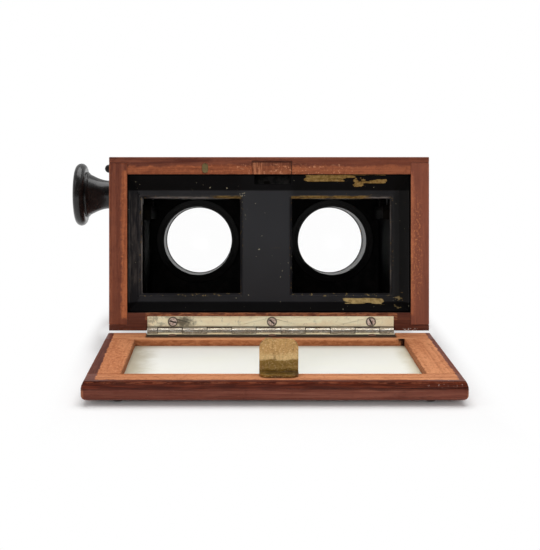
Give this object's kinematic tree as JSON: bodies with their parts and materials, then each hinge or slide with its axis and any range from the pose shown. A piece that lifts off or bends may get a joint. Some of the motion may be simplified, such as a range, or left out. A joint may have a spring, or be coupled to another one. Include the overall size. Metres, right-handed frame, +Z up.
{
  "type": "stereoscope",
  "caption": "Wooden table viewer for stereo glass slides: drop-in slide seat behind a hinged ground-glass door, knob-focused lens carriage with eyecups.",
  "frame": {"origin": "middle of the footprint on the table, at the lowest point of the object", "axes": "+Z up, -Y towards the open door and the slide end, +Y towards the eyepieces, +X to the right seen from the door side (the knob is on -X); the box leans forwards by about 7 degrees on its front lower edge"},
  "size_m": [0.1515, 0.176, 0.0793],
  "materials": {
    "varnished_wood": "varnished",
    "raw_wood": "worn varnish",
    "black_wood": "matt black stain",
    "lacquered_brass": "black lacquer, worn at the edges",
    "hinge_brass": "tarnished",
    "screw_steel": "worn",
    "aged_brass": "tarnished",
    "gear_brass": "machined",
    "spring_steel": "plain",
    "black_gloss": "turned and polished",
    "black_metal": "satin black",
    "ground_glass": "ground",
    "lens_glass": "polished"
  },
  "bodies": {
    "box": {"top_board": "varnished_wood", "bottom_board": "varnished_wood", "left_side": "varnished_wood", "right_side": "varnished_wood", "septum": "black_wood", "slide_mask": "lacquered_brass", "mask_ledge_top": "black_wood", "mask_ledge_bottom": "black_wood", "hinge_body_leaf": "hinge_brass", "hinge_pin": "screw_steel", "hinge_body_screws": "screw_steel", "latch_guide_pin": "aged_brass", "latch_spring": "spring_steel", "bush_left": "gear_brass", "bush_right": "gear_brass", "runner_left": "black_wood", "runner_right": "black_wood"},
    "door": {"door_hinge_rail": "raw_wood", "door_free_rail": "raw_wood", "door_left_stile": "raw_wood", "door_right_stile": "raw_wood", "ground_glass": "ground_glass", "glazing_beads": "varnished_wood", "hinge_door_leaf": "hinge_brass", "hinge_door_screws": "screw_steel", "spring_tongue": "aged_brass", "tongue_screws": "aged_brass", "door_feet": "black_metal"},
    "lens_carriage": {"lens_board": "black_wood", "cheek_left": "black_wood", "cheek_right": "black_wood", "rack_left": "gear_brass", "rack_right": "gear_brass", "barrel_left": "black_metal", "barrel_right": "black_metal", "clamp_ring_left": "black_metal", "clamp_ring_right": "black_metal", "lens_left": "lens_glass", "lens_right": "lens_glass", "retainer_left": "black_metal", "retainer_right": "black_metal", "eyecup_left": "black_gloss", "eyecup_right": "black_gloss"},
    "focus_drive": {"knob": "black_gloss", "knob_screw": "aged_brass", "pinion_shaft": "spring_steel", "pinion_left": "gear_brass", "pinion_right": "gear_brass"},
    "latch": {"latch_button": "black_gloss", "latch_bar": "aged_brass", "latch_catch": "aged_brass"}
  },
  "joints": [
    {"name": "door_hinge", "type": "hinge", "parent": "box", "child": "door", "pos_m": [0.00975, -0.01603, 0.00885], "axis": [1, 0, 0], "range_deg": [-97.1, 0]},
    {"name": "focus_slide", "type": "slide", "parent": "box", "child": "lens_carriage", "axis": [0, 0.9922, -0.1244], "range_m": [-0.0055, 0.0055]},
    {"name": "focus_knob", "type": "hinge", "parent": "box", "child": "focus_drive", "pos_m": [-0.05525, 0.0384, 0.05912], "axis": [1, 0, 0], "range_deg": [-52.6, 52.6]},
    {"name": "latch_press", "type": "slide", "parent": "box", "child": "latch", "axis": [1, 0, 0], "range_m": [0, 0.0016], "stiffness_N_per_m": 300, "springref_m": -0.003, "deforming": ["latch_spring"]}
  ],
  "couplings": [
    {"joint": "focus_knob", "follows": "focus_slide", "rad_per_m": 166.67}
  ]
}
